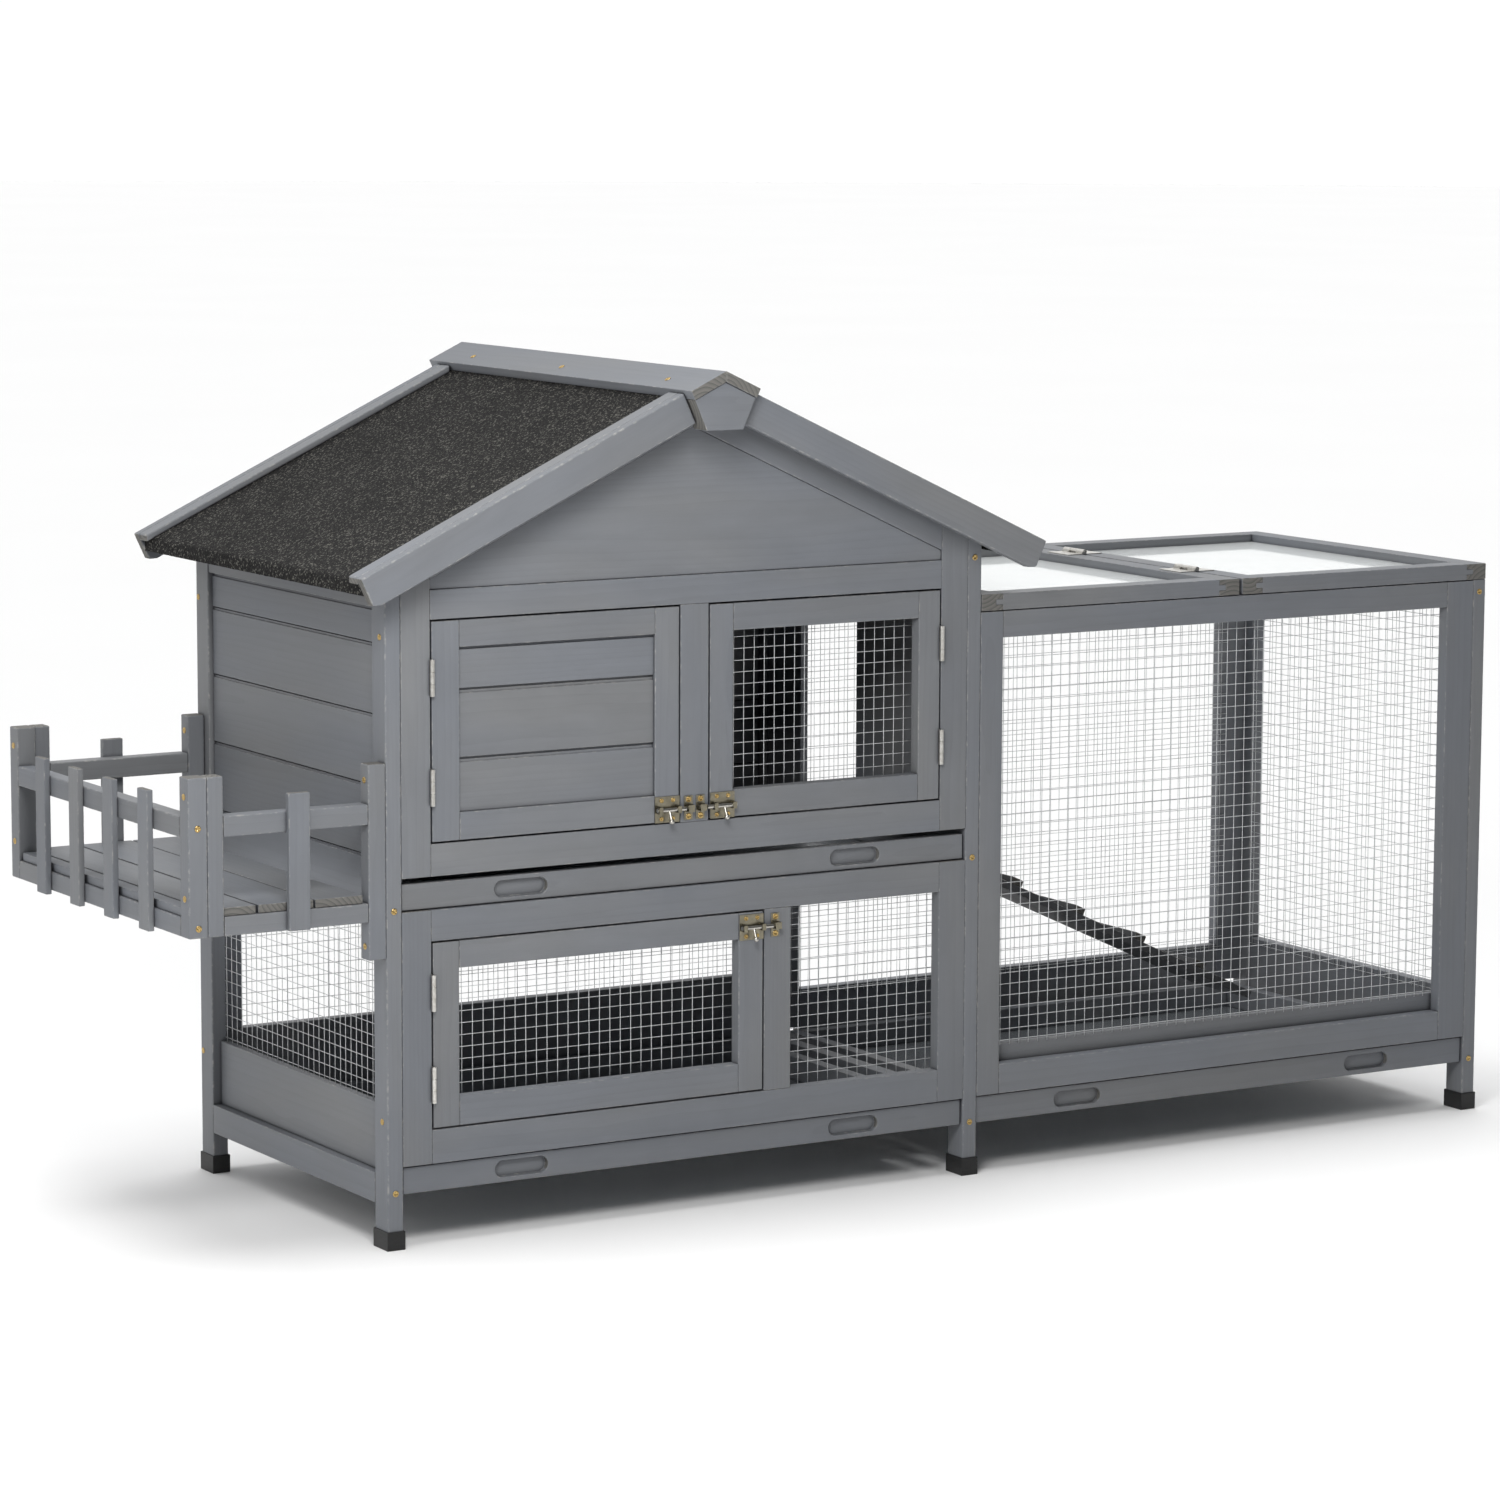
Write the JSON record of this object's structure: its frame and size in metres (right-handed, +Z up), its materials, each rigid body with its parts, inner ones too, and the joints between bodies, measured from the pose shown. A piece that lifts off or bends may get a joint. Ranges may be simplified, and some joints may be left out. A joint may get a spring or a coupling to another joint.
{
  "type": "rabbit hutch",
  "caption": "Two-storey wooden rabbit hutch with a pitched felt roof, mesh doors, pull-out trays, a side balcony, and a mesh run with a ramp and clear lids.",
  "frame": {"origin": "middle of the whole hutch's base, on the floor", "axes": "+X from the balcony towards the run, +Y from the front to the back, +Z up"},
  "size_m": [1.6664, 0.589, 0.9068],
  "materials": {
    "stained_wood": "grey-blue stain with grain showing",
    "bare_wood": "grey-blue stain, rough sawn",
    "wire": "galvanised",
    "zinc_hardware": "bright zinc",
    "screws": "yellow zinc",
    "foot_caps": "matt black",
    "roofing_felt": "mineral felt",
    "clear_sheet": "clear",
    "tray_pan": "smooth galvanised sheet"
  },
  "bodies": {
    "hutch": {"assembly_screws": "screws", "back_wall_boards": "stained_wood", "balcony_floor": "stained_wood", "balcony_panels": "stained_wood", "balcony_pickets": "stained_wood", "bargeboards": "stained_wood", "bolt_keepers": "zinc_hardware", "corner_posts": "stained_wood", "divider_wall": "stained_wood", "fixed_hinge_leaves": "zinc_hardware", "fixed_lid_frame": "stained_wood", "fixed_lid_sheet": "clear_sheet", "fixed_window_mesh": "wire", "foot_caps": "foot_caps", "front_gable": "stained_wood", "hinge_pins": "zinc_hardware", "left_wall_planks": "stained_wood", "left_wall_rails": "stained_wood", "lower_front_frame": "stained_wood", "lower_wall_mesh": "wire", "ridge_blocks": "stained_wood", "ridge_cap": "stained_wood", "roof_deck": "stained_wood", "roof_edge_trims": "stained_wood", "roof_felt": "roofing_felt", "run_back_frame": "stained_wood", "run_back_mesh": "wire", "run_end_frame": "stained_wood", "run_end_mesh": "wire", "run_front_frame": "stained_wood", "run_front_mesh": "wire", "tray_runners": "bare_wood", "upper_front_frame": "stained_wood"},
    "solid_door": {"solid_door_frame": "stained_wood", "solid_door_planks": "stained_wood", "solid_door_metal": "zinc_hardware", "solid_door_screws": "screws"},
    "mesh_door": {"mesh_door_frame": "stained_wood", "mesh_door_mesh": "wire", "mesh_door_metal": "zinc_hardware", "mesh_door_screws": "screws"},
    "lower_door": {"lower_door_frame": "stained_wood", "lower_door_mesh": "wire", "lower_door_metal": "zinc_hardware", "lower_door_screws": "screws"},
    "solid_bolt": {"solid_door_bolt": "zinc_hardware"},
    "mesh_bolt": {"mesh_door_bolt": "zinc_hardware"},
    "lower_bolt": {"lower_door_bolt": "zinc_hardware"},
    "upper_tray": {"upper_tray_box": "stained_wood", "upper_tray_pan": "tray_pan"},
    "lower_tray": {"lower_tray_box": "stained_wood", "lower_tray_pan": "tray_pan"},
    "run_tray": {"run_tray_box": "stained_wood", "run_tray_pan": "tray_pan"},
    "opening_lid": {"opening_lid_frame": "stained_wood", "opening_lid_sheet": "clear_sheet", "opening_lid_hinges": "zinc_hardware"},
    "ramp": {"ramp_board": "stained_wood", "ramp_cleats": "stained_wood", "ramp_hinges": "zinc_hardware"}
  },
  "joints": [
    {"name": "solid_door_hinge", "type": "hinge", "parent": "hutch", "child": "solid_door", "pos_m": [-0.55135, -0.2305, 0.54], "axis": [0, 0, -1], "range_deg": [0, 120]},
    {"name": "mesh_door_hinge", "type": "hinge", "parent": "hutch", "child": "mesh_door", "pos_m": [0.07385, -0.2305, 0.54], "axis": [0, 0, 1], "range_deg": [0, 120]},
    {"name": "lower_door_hinge", "type": "hinge", "parent": "hutch", "child": "lower_door", "pos_m": [-0.55135, -0.2305, 0.22], "axis": [0, 0, -1], "range_deg": [0, 120]},
    {"name": "solid_door_bolt_slide", "type": "slide", "parent": "solid_door", "child": "solid_bolt", "axis": [1, 0, 0], "range_m": [-0.006, 0.007]},
    {"name": "mesh_door_bolt_slide", "type": "slide", "parent": "mesh_door", "child": "mesh_bolt", "axis": [-1, 0, 0], "range_m": [-0.006, 0.007]},
    {"name": "lower_door_bolt_slide", "type": "slide", "parent": "lower_door", "child": "lower_bolt", "axis": [1, 0, 0], "range_m": [-0.006, 0.007]},
    {"name": "upper_tray_slide", "type": "slide", "parent": "hutch", "child": "upper_tray", "axis": [0, -1, 0], "range_m": [0, 0.4]},
    {"name": "lower_tray_slide", "type": "slide", "parent": "hutch", "child": "lower_tray", "axis": [0, -1, 0], "range_m": [0, 0.4]},
    {"name": "run_tray_slide", "type": "slide", "parent": "hutch", "child": "run_tray", "axis": [0, -1, 0], "range_m": [0, 0.4]},
    {"name": "opening_lid_hinge", "type": "hinge", "parent": "hutch", "child": "opening_lid", "pos_m": [0.47875, 0, 0.6506], "axis": [0, -1, 0], "range_deg": [0, 150]},
    {"name": "ramp_hinge", "type": "hinge", "parent": "hutch", "child": "ramp", "pos_m": [0.12595, 0.0645, 0.374], "axis": [0, -1, 0], "range_deg": [0, 45]}
  ]
}
